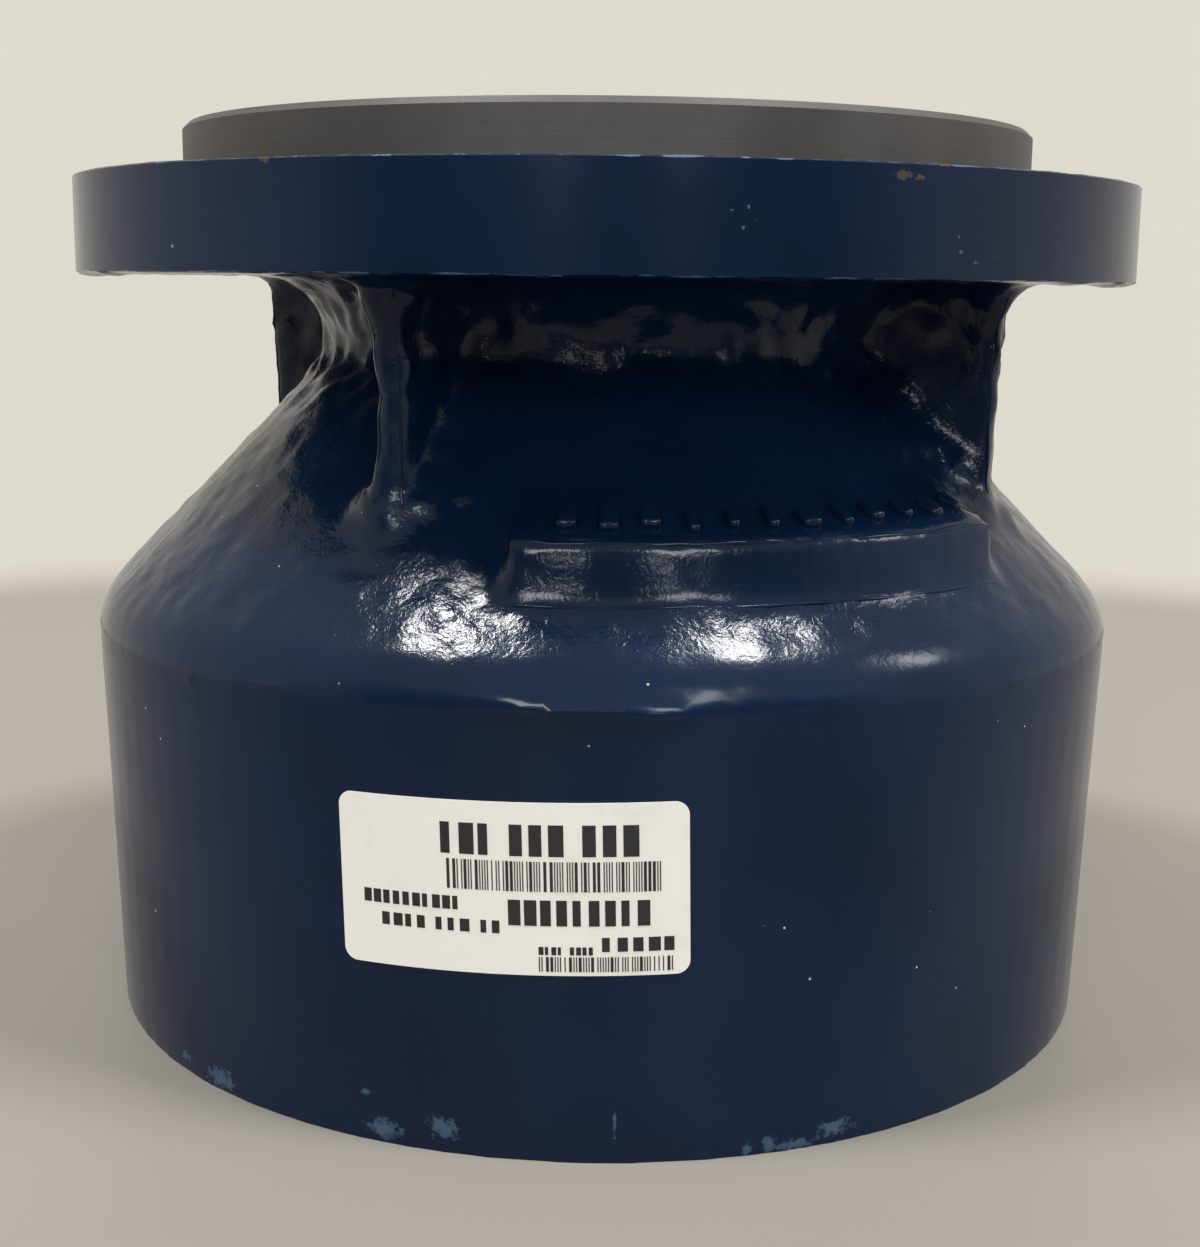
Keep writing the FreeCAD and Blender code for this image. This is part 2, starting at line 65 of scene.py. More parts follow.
def mount_size(name, key):
    """A size of one of the part's mounts, in metres."""
    return MOUNTS[name]["dims"][key] * MM


# Read from the frame: radii and heights where the bowl is machined
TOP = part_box("bowl_casting")[1].z
FLANGE_TOP = MOUNTS["flange_bolts"]["pos_m"][2]
FLANGE_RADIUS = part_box("bowl_casting")[1].x
SPIGOT_RADIUS = mount_size("spigot", "r_mm")
REGISTER_RADIUS = mount_size("register_bore", "r_mm")
REGISTER_DEPTH = mount_size("register_bore", "length_mm")
SKIRT_RADIUS = mount_size("skirt_bore", "r_mm")
SKIRT_LENGTH = mount_size("skirt_bore", "length_mm")
SKIRT_MIDDLE = MOUNTS["skirt_bore"]["pos_m"][2]
BOLT_CIRCLE = mount_size("flange_bolts", "pcd_mm") / 2
BOLT_COUNT = MOUNTS["flange_bolts"]["dims"]["count"]
BOLT_HOLE = mount_size("flange_bolts", "hole_r_mm")
TAPPED_HOLE = mount_size("base_bolts", "hole_r_mm")
SHELL_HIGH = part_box("bearing_shell")[1]
LABEL_LOW, LABEL_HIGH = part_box("label")

# Heights and radii of the casting's outside, and of the middle of its wall
FLANGE_THICKNESS = 15.6 * MM
FLANGE_BOTTOM = FLANGE_TOP - FLANGE_THICKNESS
PARTING = 66 * MM
SHOULDER = 70.8 * MM
NECK = 111.6 * MM
BASE_RADIUS = 87.2 * MM
PARTING_RADIUS = 89.3 * MM
WALL_HEIGHTS = (0, 45 * MM, SHOULDER, NECK, TOP)
WALL_MIDDLES = (80 * MM, 80 * MM, 84.5 * MM, 46.3 * MM, 46.3 * MM)
HUB_BOTTOM = 50 * MM
HUB_TOP = 122 * MM
TAPPED_DEPTH = 18 * MM
FIRST_BOLT = math.radians(-3.9)

# Radius and height of the ledge's foot, of its edge and of the far end of its top
LEDGE_FOOT = (80.1 * MM, 80.0 * MM)
LEDGE_EDGE = (78.6 * MM, 89.2 * MM)
LEDGE_HEAD = (65.4 * MM, 95.1 * MM)
WEB_ANGLES = (-26.4, 63.6, 153.6, -116.4)


class BowlCasting(bpy.types.PropertyGroup):
    """Sizes of the casting's skin."""

    grid: FloatProperty(
        name="Grid", description="Spacing of the casting's mesh", default=1.45 * MM, unit="LENGTH")
    fillet_steps: IntProperty(
        name="Fillet steps", description="Steps that grow the fillets in its corners", default=46)
    round_steps: IntProperty(
        name="Round steps", description="Steps that round its outer edges", default=3)
    inside_share: FloatProperty(
        name="Inside share", description="Share of the faces kept, the waterway giving up its own",
        default=0.60, subtype="FACTOR", min=0.3, max=1)
    lumps: FloatProperty(
        name="Lumps", description="Depth of the uneven surface on cone, neck and webs",
        default=0.42 * MM, unit="LENGTH")
    grain: FloatProperty(
        name="Grain", description="Depth of the sand's print there", default=0.16 * MM,
        unit="LENGTH")
    paint: FloatVectorProperty(
        name="Paint", description="Colour of the epoxy paint", subtype="COLOR", size=3,
        default=(0.0014, 0.0082, 0.0265), min=0, max=1)
    # Scuff colour: rubbed paint, and also the painted highlight along the flange's top and bottom
    # edges.
    scuff_and_highlight: FloatVectorProperty(
        name="Scuff", description="Colour of rubbed paint", subtype="COLOR", size=3,
        default=(0.09, 0.17, 0.27), min=0, max=1)
    iron: FloatVectorProperty(
        name="Iron", description="Colour of the machined iron", subtype="COLOR", size=3,
        default=(0.041, 0.039, 0.038), min=0, max=1)


class BowlBearing(bpy.types.PropertyGroup):
    """Looks of the bearing."""

    bronze: FloatVectorProperty(
        name="Bronze", description="Colour of the bearing's shell", subtype="COLOR", size=3,
        default=(0.60, 0.38, 0.16), min=0, max=1)
    rubber: FloatVectorProperty(
        name="Rubber", description="Colour of its lining", subtype="COLOR", size=3,
        default=(0.018, 0.018, 0.019), min=0, max=1)


class BowlLabel(bpy.types.PropertyGroup):
    """Place and print of the label."""

    angle: FloatProperty(
        name="Angle", description="Angle of the label's middle, from the front",
        default=math.radians(-8.2), subtype="ANGLE")
    tilt: FloatProperty(
        name="Tilt", description="How far it was stuck on askew", default=math.radians(1.2),
        subtype="ANGLE")
    paper: FloatVectorProperty(
        name="Paper", description="Colour of the paper", subtype="COLOR", size=3,
        default=(0.74, 0.73, 0.70), min=0, max=1)
    ink: FloatVectorProperty(
        name="Ink", description="Colour of the print", subtype="COLOR", size=3,
        default=(0.010, 0.010, 0.011), min=0, max=1)
    ink_height: FloatProperty(
        name="Ink height", description="How far the print stands on the paper",
        default=0.03 * MM, unit="LENGTH")


class BowlStage(bpy.types.PropertyGroup):
    """Camera, light and floor."""

    lens: FloatProperty(
        name="Lens", description="Focal length for a 36 mm frame", default=52.5, subtype="NONE")
    distance: FloatProperty(
        name="Distance", description="Camera to the shaft's axis", default=330.3 * MM,
        unit="LENGTH")
    aside: FloatProperty(
        name="Aside", description="Camera to the right of the axis", default=-0.33 * MM,
        unit="LENGTH")
    height: FloatProperty(
        name="Height", description="Camera above the floor", default=124.9 * MM, unit="LENGTH")
    tilt: FloatProperty(
        name="Tilt", description="Camera tilted down", default=math.radians(10.65),
        subtype="ANGLE")
    roll: FloatProperty(
        name="Roll", description="Camera rolled", default=math.radians(0.65), subtype="ANGLE")
    floor: FloatVectorProperty(
        name="Floor", description="Colour of the floor", subtype="COLOR", size=3,
        default=(0.224, 0.208, 0.192), min=0, max=1)
    floor_radius: FloatProperty(
        name="Floor radius", description="Radius of the round floor", default=0.523,
        unit="LENGTH")
    room: FloatVectorProperty(
        name="Room", description="Colour of the pale room", subtype="COLOR", size=3,
        default=(0.74, 0.70, 0.62), min=0, max=1)
    shade: FloatVectorProperty(
        name="Shade", description="Colour of the room's dim side, in front of the bowl",
        subtype="COLOR", size=3, default=(0.20, 0.19, 0.18), min=0, max=1)


def polar(angle, radius, height):
    """Point at an angle in radians from the front, -Y, towards +X."""
    return Vector((radius * math.sin(angle), -radius * math.cos(angle), height))


def add_object(name, mesh, *materials):
    piece = bpy.data.objects.new(name, mesh)
    bpy.context.scene.collection.objects.link(piece)
    for material in materials:
        mesh.materials.append(material)
    return piece


def settle(piece):
    """Apply the modifiers of a piece."""
    graph = bpy.context.evaluated_depsgraph_get()
    mesh = bpy.data.meshes.new_from_object(piece.evaluated_get(graph), depsgraph=graph)
    piece.modifiers.clear()
    piece.data = mesh
    return mesh


def add_ring(form, outline, segments):
    """Add a closed solid to a bmesh: an outline of radii and heights turned about the axis."""
    rings = []
    for radius, height in outline:
        turns = segments if radius > 0 else 1
        rings.append([form.verts.new(polar(math.tau * turn / turns, radius, height))
                      for turn in range(turns)])
    for low, high in zip(rings, rings[1:] + rings[:1]):
        for turn in range(segments):
            after = (turn + 1) % segments
            corners = [low[turn % len(low)], low[after % len(low)],
                       high[after % len(high)], high[turn % len(high)]]
            unique = list(dict.fromkeys(corners))
            if len(unique) > 2:
                form.faces.new(unique)


def add_plug(form, radius, bottom, top, angle=0.0, reach=0.0, segments=40):
    """Add a closed upright cylinder to a bmesh."""
    middle = polar(angle, reach, (bottom + top) / 2)
    bmesh.ops.create_cone(
        form, cap_ends=True, segments=segments, radius1=radius, radius2=radius,
        depth=top - bottom, matrix=Matrix.Translation(middle))


def finished_form(form, name):
    """Mesh of a bmesh with its faces turned outwards."""
    bmesh.ops.recalc_face_normals(form, faces=form.faces)
    mesh = bpy.data.meshes.new(name)
    form.to_mesh(mesh)
    form.free()
    return mesh


def bolt_angles():
    return [FIRST_BOLT + math.tau * bolt / BOLT_COUNT for bolt in range(BOLT_COUNT)]


def points_of(mesh):
    points = np.empty(len(mesh.vertices) * 3, np.float64)
    mesh.vertices.foreach_get("co", points)
    return points.reshape(-1, 3)


def normals_of(mesh):
    normals = np.empty(len(mesh.vertices) * 3, np.float32)
    mesh.vertices.foreach_get("normal", normals)
    return normals.reshape(-1, 3).astype(np.float64)


def store_points(mesh, points):
    mesh.vertices.foreach_set("co", points.ravel())
    mesh.update()


def smooth_flow(mesh, steps, share, hollow_only):
    """Move each vertex towards its neighbours' middle, or only those in hollow corners.

    The share says how much of the way each vertex may go.
    """
    edges = np.empty(len(mesh.edges) * 2, np.int32)
    mesh.edges.foreach_get("vertices", edges)
    first, second = edges.reshape(-1, 2).T
    count = len(mesh.vertices)
    degree = np.bincount(first, minlength=count) + np.bincount(second, minlength=count)
    points = points_of(mesh)
    normals = normals_of(mesh)
    for step in range(steps):
        if hollow_only and step % 8 == 7:
            store_points(mesh, points)
            normals = normals_of(mesh)
        middle = np.stack([
            np.bincount(first, points[second, axis], count)
            + np.bincount(second, points[first, axis], count) for axis in range(3)
        ], axis=1) / degree[:, None]
        pull = middle - points
        if hollow_only:
            hollow = (pull * normals).sum(axis=1)
            threshold = 0.02 * MM
            pull *= np.clip((hollow - threshold) / (2 * threshold), 0, 1)[:, None]
        points += 0.5 * share[:, None] * pull
    store_points(mesh, points)


def outside_share(points):
    """1 on the outside of the casting, 0 in its waterway."""
    radii = np.hypot(points[:, 0], points[:, 1])
    middles = np.interp(points[:, 2], WALL_HEIGHTS, WALL_MIDDLES)
    return (radii > middles).astype(float)


def at_ledge(points):
    """Which points lie on or beside the ledge, outside."""
    angles = np.degrees(np.arctan2(points[:, 0], -points[:, 1]))
    near = (np.abs(angles - 20) < 34) & (np.abs(points[:, 2] - 86 * MM) < 12 * MM)
    return near & (outside_share(points) > 0)


def fillet_share(points):
    """How freely fillets grow: not where the casting is machined, and little at the ledge."""
    heights = points[:, 2]
    radii = np.hypot(points[:, 0], points[:, 1])
    at_webs = (radii > 60 * MM) & (heights > SHOULDER + 8 * MM) & (heights < FLANGE_BOTTOM + 1 * MM)
    at_flare = (radii > 45 * MM) & (heights > FLANGE_BOTTOM - 15 * MM)
    share = np.where(at_webs | at_flare, 0.25, 1.0)
    share = np.where(at_ledge(points), 0.1, share)
    share[heights > FLANGE_TOP - 4 * MM] = 0
    share[heights < REGISTER_DEPTH + 3 * MM] = 0
    return share


def roughness_share(points):
    """How rough the cast surface is: 1 on cone, neck and webs, less on rim and flange."""
    radii = np.hypot(points[:, 0], points[:, 1])
    heights = points[:, 2]
    above_rim = np.clip((heights - PARTING) / (4 * MM), 0, 1)
    under_flange = np.clip((FLANGE_BOTTOM + 1 * MM - heights) / (3 * MM), 0, 1)
    inboard = np.clip((FLANGE_RADIUS - 2 * MM - radii) / (6 * MM), 0, 1)
    rough = above_rim * np.maximum(under_flange * inboard, 0)
    on_face = at_ledge(points) & (np.abs(heights - 85.5 * MM) < 5.5 * MM)
    rough = np.where(on_face, 0.45 * rough, rough)
    return np.where(outside_share(points) > 0, 0.10 + 0.90 * rough, 0.45)


# Raised places on the cast skin: angle, radius and height of the middle, width, rise and how
# far it stands out. Feet of the webs, sags of paint under the flange and along the crease.
LUMPS = (
    (-30.0, 69.0, 93.0, 3.0, 4.6, 2.1),
    (-27.0, 71.5, 90.0, 3.4, 2.6, 1.6),
    (-22.4, 66.6, 94.4, 2.0, 1.8, 1.3),
    (-22.8, 68.8, 92.2, 2.0, 1.6, 1.2),
    (-17.8, 67.0, 94.0, 2.0, 1.7, 0.9),
    (-24.0, 62.4, 98.7, 1.6, 1.6, 0.8),
    (-28.5, 72.0, 122.5, 4.6, 3.6, 1.3),
    (-24.0, 70.5, 123.5, 4.4, 3.0, 1.2),
    (-30.0, 66.0, 124.0, 5.0, 3.0, 1.4),
    (60.5, 71.0, 89.5, 4.0, 3.0, 1.4),
    (66.5, 72.5, 88.0, 3.6, 3.0, 1.2),
    (61.0, 66.0, 95.5, 3.4, 3.4, 1.2),
    (57.5, 62.0, 99.0, 3.0, 3.0, 1.0),
    (61.5, 71.5, 123.5, 4.6, 3.0, 1.2),
    (150.0, 71.0, 89.5, 3.8, 3.0, 1.4),
    (157.5, 72.0, 88.5, 3.4, 3.0, 1.2),
    (-120.0, 71.0, 89.5, 3.8, 3.0, 1.4),
    (-113.0, 72.0, 88.5, 3.4, 3.0, 1.2),
    (-2.0, 89.2, 67.2, 9.0, 1.7, 0.8),
    (5.0, 89.2, 66.6, 5.0, 1.5, 0.7),
    (-9.0, 89.2, 68.4, 5.0, 2.2, 0.5),
    (21.0, 89.2, 67.8, 7.0, 1.1, 0.45),
    (-33.0, 89.2, 67.4, 8.0, 1.0, 0.4),
    (-70.0, 88.5, 125.0, 4.0, 1.4, 0.7),
    (-58.0, 88.8, 125.0, 2.6, 1.2, 0.6),
    (-79.0, 88.0, 125.0, 3.0, 1.4, 0.7),
    (62.0, 88.8, 125.0, 3.4, 1.3, 0.7),
    (72.0, 88.5, 125.0, 2.6, 1.2, 0.6),
    (50.0, 89.0, 125.0, 4.0, 1.0, 0.5),
)


def lump_rise(points):
    """How far each point is raised by the lumps."""
    rise = np.zeros(len(points))
    for angle, radius, height, width, tall, proud in LUMPS:
        middle = np.array(polar(math.radians(angle), radius * MM, height * MM))
        away = points - middle
        level = np.hypot(away[:, 0], away[:, 1]) / (width * MM)
        upright = away[:, 2] / (tall * MM)
        rise += proud * MM * np.exp(-(level ** 2 + upright ** 2))
    return rise


def under_label(points):
    """Whether each point lies behind the label."""
    margin = 1 * MM
    low = np.array(LABEL_LOW) - margin
    high = np.array(LABEL_HIGH) + margin
    return ((points > low) & (points < high)).all(axis=1)


def uneven(points, spacing, seed):
    """Smooth noise at each point, about -1 to 1, with features of that spacing."""
    shift = Vector((seed, 2 * seed, 3 * seed))
    return np.array([noise.noise(Vector(point) / spacing + shift) for point in points])


def roughen(mesh, sizes):
    """Give the skin its lumps, sags and the print of the sand."""
    points = points_of(mesh)
    share = roughness_share(points)
    outside = outside_share(points)
    on_neck = np.clip((points[:, 2] - 102 * MM) / (8 * MM), 0, 1)
    swell = 0.7 * uneven(points, 11 * MM, 3.1) + (0.4 + 1.6 * on_neck) * uneven(
        points, 4.5 * MM, 7.7)
    print_of_sand = uneven(points, 2.9 * MM, 12.3)
    rise = share * (sizes.lumps * swell + (1 + 1.5 * on_neck) * sizes.grain * print_of_sand)
    rise += outside * lump_rise(points)
    above = points[:, 2] - PARTING
    rise += outside * np.where(above > 0, 0.28 * MM * np.exp(-np.abs(above) / (3 * MM)), 0)
    rise = np.where(under_label(points), np.minimum(rise, 0) - 0.03 * MM, rise)
    points += normals_of(mesh) * rise[:, None]
    store_points(mesh, points)


def thin_waterway(casting, share):
    """Keep a share of the faces, and take the others from the waterway."""
    group = casting.vertex_groups.new(name="waterway")
    inside = np.flatnonzero(outside_share(points_of(casting.data)) == 0)
    group.add(inside.tolist(), 1.0, "REPLACE")
    thinned = casting.modifiers.new("thin_waterway", "DECIMATE")
    thinned.ratio = share
    thinned.vertex_group = group.name
    thinned.vertex_group_factor = 1.0
    settle(casting)


def blank_form(node):
    """Copy of the CAD casting with its holes plugged and stock left where it is machined."""
    form = bmesh.new()
    form.from_mesh(node.data)
    bmesh.ops.remove_doubles(form, verts=form.verts, dist=0.001 * MM)
    for angle in bolt_angles():
        add_plug(form, BOLT_HOLE + 1 * MM, FLANGE_BOTTOM + 0.1 * MM, FLANGE_TOP - 0.1 * MM,
                 angle, BOLT_CIRCLE)
        add_plug(form, TAPPED_HOLE + 1 * MM, -1 * MM, TAPPED_DEPTH + 1 * MM, angle, BOLT_CIRCLE)
    seat = SKIRT_MIDDLE - SKIRT_LENGTH / 2
    stock = 1.6 * MM
    add_ring(form, ((SKIRT_RADIUS - stock, seat - stock), (70 * MM, seat),
                    (70 * MM, TOP + stock), (SKIRT_RADIUS - stock, TOP + stock)), 96)
    add_ring(form, ((60 * MM, FLANGE_TOP - stock), (SPIGOT_RADIUS + stock, FLANGE_TOP - stock),
                    (SPIGOT_RADIUS + stock, TOP + stock), (60 * MM, TOP + stock)), 128)
    add_ring(form, ((80 * MM, FLANGE_BOTTOM), (FLANGE_RADIUS + stock, FLANGE_BOTTOM),
                    (FLANGE_RADIUS + stock, FLANGE_TOP), (80 * MM, FLANGE_TOP)), 192)
    add_ring(form, ((REGISTER_RADIUS - stock, -stock), (BASE_RADIUS, -stock),
                    (BASE_RADIUS, 1 * MM), (80 * MM, REGISTER_DEPTH + 3 * MM),
                    (REGISTER_RADIUS - stock, REGISTER_DEPTH + 0.5 * MM)), 128)
    bore = SHELL_HIGH.x
    add_ring(form, ((bore - stock, HUB_BOTTOM - 0.5 * MM), (bore + 3 * MM, HUB_BOTTOM + 0.5 * MM),
                    (bore + 3 * MM, HUB_TOP - 0.5 * MM), (bore - stock, HUB_TOP + 0.3 * MM)), 48)
    return form


def tool_form():
    """What the machining takes away from the blank. The flange's outside is painted after it."""
    form = bmesh.new()
    edge = FLANGE_RADIUS - 0.02 * MM
    trim = 0.35 * MM
    skin = 0.05 * MM
    far = 8 * MM
    add_ring(form, (
        (edge - trim, FLANGE_BOTTOM - far), (edge + far, FLANGE_BOTTOM - far),
        (edge + far, TOP + far), (edge - trim, TOP + far), (edge - trim, FLANGE_TOP + skin),
        (edge, FLANGE_TOP + skin - trim), (edge, FLANGE_BOTTOM - skin + trim),
        (edge - trim, FLANGE_BOTTOM - skin)), 256)
    for face in form.faces:
        face.material_index = 1
    seat = SKIRT_MIDDLE - SKIRT_LENGTH / 2
    dish = seat + SKIRT_LENGTH
    clear = 8 * MM
    step = 0.06 * MM
    dish_floor = 6.5 * MM
    face_width = 7 * MM
    chamfer = 1 * MM
    add_ring(form, (
        (0, seat), (SKIRT_RADIUS, seat), (SKIRT_RADIUS, dish), (SKIRT_RADIUS + dish_floor, dish),
        (SPIGOT_RADIUS - face_width, TOP), (SPIGOT_RADIUS - chamfer, TOP),
        (SPIGOT_RADIUS, TOP - chamfer), (SPIGOT_RADIUS, FLANGE_TOP - step),
        (SPIGOT_RADIUS + 3 * MM, FLANGE_TOP - step), (SPIGOT_RADIUS + 3 * MM, TOP + clear),
        (0, TOP + clear)), 192)
    add_ring(form, (
        (0, -clear), (FLANGE_RADIUS + clear, -clear), (FLANGE_RADIUS + clear, 0),
        (REGISTER_RADIUS, 0), (REGISTER_RADIUS, REGISTER_DEPTH), (0, REGISTER_DEPTH)), 192)
    add_ring(form, (
        (0, HUB_BOTTOM - clear), (SHELL_HIGH.x, HUB_BOTTOM - clear),
        (SHELL_HIGH.x, HUB_TOP + 2 * MM), (0, HUB_TOP + 2 * MM)), 96)
    for angle in bolt_angles():
        add_plug(form, BOLT_HOLE, FLANGE_BOTTOM - clear, FLANGE_TOP + 2 * MM, angle, BOLT_CIRCLE)
        add_plug(form, TAPPED_HOLE, -clear / 2, TAPPED_DEPTH, angle, BOLT_CIRCLE)
    return form


def add_node(tree, kind, inputs=(), **settings):
    """New shader node with its settings, and its inputs set or linked."""
    made = tree.nodes.new(kind)
    for name, value in settings.items():
        setattr(made, name, value)
    for name, value in dict(inputs).items():
        if isinstance(value, bpy.types.NodeSocket):
            tree.links.new(value, made.inputs[name])
        else:
            made.inputs[name].default_value = value
    return made


def maths(tree, operation, first, second=0.0, clamp=False):
    """Output of a Math node."""
    return add_node(tree, "ShaderNodeMath", {0: first, 1: second}, operation=operation,
                    use_clamp=clamp).outputs[0]


def band(tree, value, low, high):
    """0 below low and 1 above high, or the other way round, with a smooth step between."""
    return add_node(tree, "ShaderNodeMapRange", {
        "Value": value, "From Min": low, "From Max": high},
        interpolation_type="SMOOTHSTEP").outputs["Result"]


def noise_at(tree, place, scale, detail=2.0, roughness=0.5, distortion=0.0):
    """Noise output at places in metres; scale is in features per metre."""
    return add_node(tree, "ShaderNodeTexNoise", {
        "Vector": place, "Scale": scale, "Detail": detail, "Roughness": roughness,
        "Distortion": distortion}).outputs["Fac"]


def new_group(name, inputs, outputs):
    """Empty node group, its input sockets by name, and a function that links its outputs."""
    tree = bpy.data.node_groups.new(name, "ShaderNodeTree")
    for socket, kind, value in inputs:
        made = tree.interface.new_socket(socket, in_out="INPUT", socket_type=kind)
        made.default_value = value
    for socket in outputs:
        tree.interface.new_socket(socket, in_out="OUTPUT", socket_type="NodeSocketFloat")
    given = tree.nodes.new("NodeGroupInput").outputs
    result = tree.nodes.new("NodeGroupOutput").inputs
    return tree, given, result


def object_place(tree):
    return tree.nodes.new("ShaderNodeTexCoord").outputs["Object"]


def round_place(tree, place):
    """Radius from the shaft's axis, and height, of a place."""
    parts = add_node(tree, "ShaderNodeSeparateXYZ", {"Vector": place}).outputs
    flat = add_node(tree, "ShaderNodeCombineXYZ", {"X": parts["X"], "Y": parts["Y"]})
    radius = add_node(tree, "ShaderNodeVectorMath", {0: flat.outputs["Vector"]},
                      operation="LENGTH").outputs["Value"]
    return radius, parts["Z"]


def sand_skin_group():
    """Painted sand casting: sand's print where it is rough, and orange peel all over."""
    tree, given, result = new_group("sand_skin", (
        ("Roughcast", "NodeSocketFloat", 1.0),
        ("Sand Depth", "NodeSocketFloat", 0.085),
        ("Peel Depth", "NodeSocketFloat", 0.006)), ("Height", "Shade"))
    place = object_place(tree)
    worms = noise_at(tree, place, 560, 3, 0.55, 1.1)
    grains = noise_at(tree, place, 1300, 2, 0.6, 0.4)
    peel = noise_at(tree, place, 620, 1)
    sand = maths(tree, "ADD", worms, maths(tree, "MULTIPLY", grains, 0.45))
    sand = maths(tree, "MULTIPLY", sand, maths(
        tree, "MULTIPLY", given["Roughcast"], given["Sand Depth"]))
    height = maths(tree, "ADD", sand, maths(tree, "MULTIPLY", peel, given["Peel Depth"]))
    tree.links.new(height, result["Height"])
    tree.links.new(noise_at(tree, place, 28, 3), result["Shade"])
    return tree


def wear_spot_group():
    """How far a place is from the middle of a spot of wear, in the spot's half sizes."""
    tree, given, result = new_group("wear_spot", (
        ("Centre", "NodeSocketVector", (0, 0, 0)),
        ("Size", "NodeSocketVector", (MM, MM, MM))), ("Distance",))
    away = add_node(tree, "ShaderNodeVectorMath", {0: object_place(tree), 1: given["Centre"]},
                    operation="SUBTRACT").outputs["Vector"]
    scaled = add_node(tree, "ShaderNodeVectorMath", {0: away, 1: given["Size"]},
                      operation="DIVIDE").outputs["Vector"]
    length = add_node(tree, "ShaderNodeVectorMath", {0: scaled}, operation="LENGTH")
    tree.links.new(length.outputs["Value"], result["Distance"])
    return tree


def edge_wear_and_highlight_group():
    """Paint rubbed along a round edge, where the noise lets it through. On the flange's edges this
    light line is also a painted highlight, standing in for the reflection along those edges.
    """
    tree, given, result = new_group("edge_wear_and_highlight", (
        ("Radius", "NodeSocketFloat", 0.1),
        ("Height", "NodeSocketFloat", 0.0),
        ("Reach", "NodeSocketFloat", MM),
        ("Share", "NodeSocketFloat", 0.5),
        ("Patches", "NodeSocketFloat", 200.0)), ("Mask",))
    place = object_place(tree)
    radius, height = round_place(tree, place)
    off_edge = add_node(tree, "ShaderNodeCombineXYZ", {
        "X": maths(tree, "SUBTRACT", radius, given["Radius"]),
        "Y": maths(tree, "SUBTRACT", height, given["Height"])}).outputs["Vector"]
    near = maths(tree, "DIVIDE", add_node(
        tree, "ShaderNodeVectorMath", {0: off_edge}, operation="LENGTH").outputs["Value"],
        given["Reach"])
    patches = add_node(tree, "ShaderNodeTexNoise", {
        "Vector": place, "Scale": given["Patches"], "Detail": 4.0}).outputs["Fac"]
    margin = maths(tree, "SUBTRACT", maths(tree, "ADD", given["Share"], patches),
                   maths(tree, "ADD", maths(tree, "MULTIPLY", near, 0.5), 0.5))
    tree.links.new(band(tree, margin, 0.5, 0.56), result["Mask"])
    return tree


def dust_group():
    """Fine specks of dust, 1 on a speck."""
    tree, given, result = new_group("dust", (
        ("Specks", "NodeSocketFloat", 260.0),
        ("Size", "NodeSocketFloat", 0.05)), ("Mask",))
    place = object_place(tree)
    cell = add_node(tree, "ShaderNodeTexVoronoi", {
        "Vector": place, "Scale": given["Specks"]})
    rare = band(tree, noise_at(tree, place, 60, 2), 0.58, 0.64)
    speck = maths(tree, "LESS_THAN", cell.outputs["Distance"], given["Size"])
    tree.links.new(maths(tree, "MULTIPLY", speck, rare), result["Mask"])
    return tree


def lathe_lines_group():
    """Lines left by a turning tool, round the shaft's axis."""
    tree, given, result = new_group("lathe_lines", (
        ("Pitch", "NodeSocketFloat", 0.25 * MM),), ("Lines", "Shade"))
    place = object_place(tree)
    radius, height = round_place(tree, place)
    feed = add_node(tree, "ShaderNodeCombineXYZ", {
        "X": maths(tree, "DIVIDE", radius, given["Pitch"]),
        "Z": maths(tree, "DIVIDE", height, given["Pitch"])}).outputs["Vector"]
    tree.links.new(noise_at(tree, feed, 1.0, 2, 0.7), result["Lines"])
    tree.links.new(noise_at(tree, place, 45, 4, 0.6), result["Shade"])
    return tree


GROUPS = {
    "sand_skin": sand_skin_group,
    "wear_spot": wear_spot_group,
    "edge_wear_and_highlight": edge_wear_and_highlight_group,
    "dust": dust_group,
    "lathe_lines": lathe_lines_group,
}


def group_outputs(tree, name, **inputs):
    """Outputs of a node group placed in a material. It is built at its first use."""
    group = bpy.data.node_groups.get(name) or GROUPS[name]()
    made = add_node(tree, "ShaderNodeGroup", node_tree=group)
    for socket, value in inputs.items():
        socket = socket.replace("_", " ")
        if isinstance(value, bpy.types.NodeSocket):
            tree.links.new(value, made.inputs[socket])
        else:
            made.inputs[socket].default_value = value
    return made.outputs


def plain_material(name):
    """New material, its node tree and its Principled BSDF."""
    material = bpy.data.materials.new(name)
    material.use_nodes = True
    tree = material.node_tree
    return material, tree, tree.nodes["Principled BSDF"]


def mixed(tree, share, first, second):
    """Colour between two colours, or colour outputs."""
    made = add_node(tree, "ShaderNodeMix", {0: share}, data_type="RGBA")
    for socket, colour in ((made.inputs[6], first), (made.inputs[7], second)):
        if isinstance(colour, bpy.types.NodeSocket):
            tree.links.new(colour, socket)
        else:
            socket.default_value = (*colour[:3], 1)
    return made.outputs[2]


def bumped(tree, shader, height, depth):
    """Give a shader the relief of a height. One unit of height is the depth."""
    bump = add_node(tree, "ShaderNodeBump", {"Height": height, "Distance": depth})
    tree.links.new(bump.outputs["Normal"], shader.inputs["Normal"])


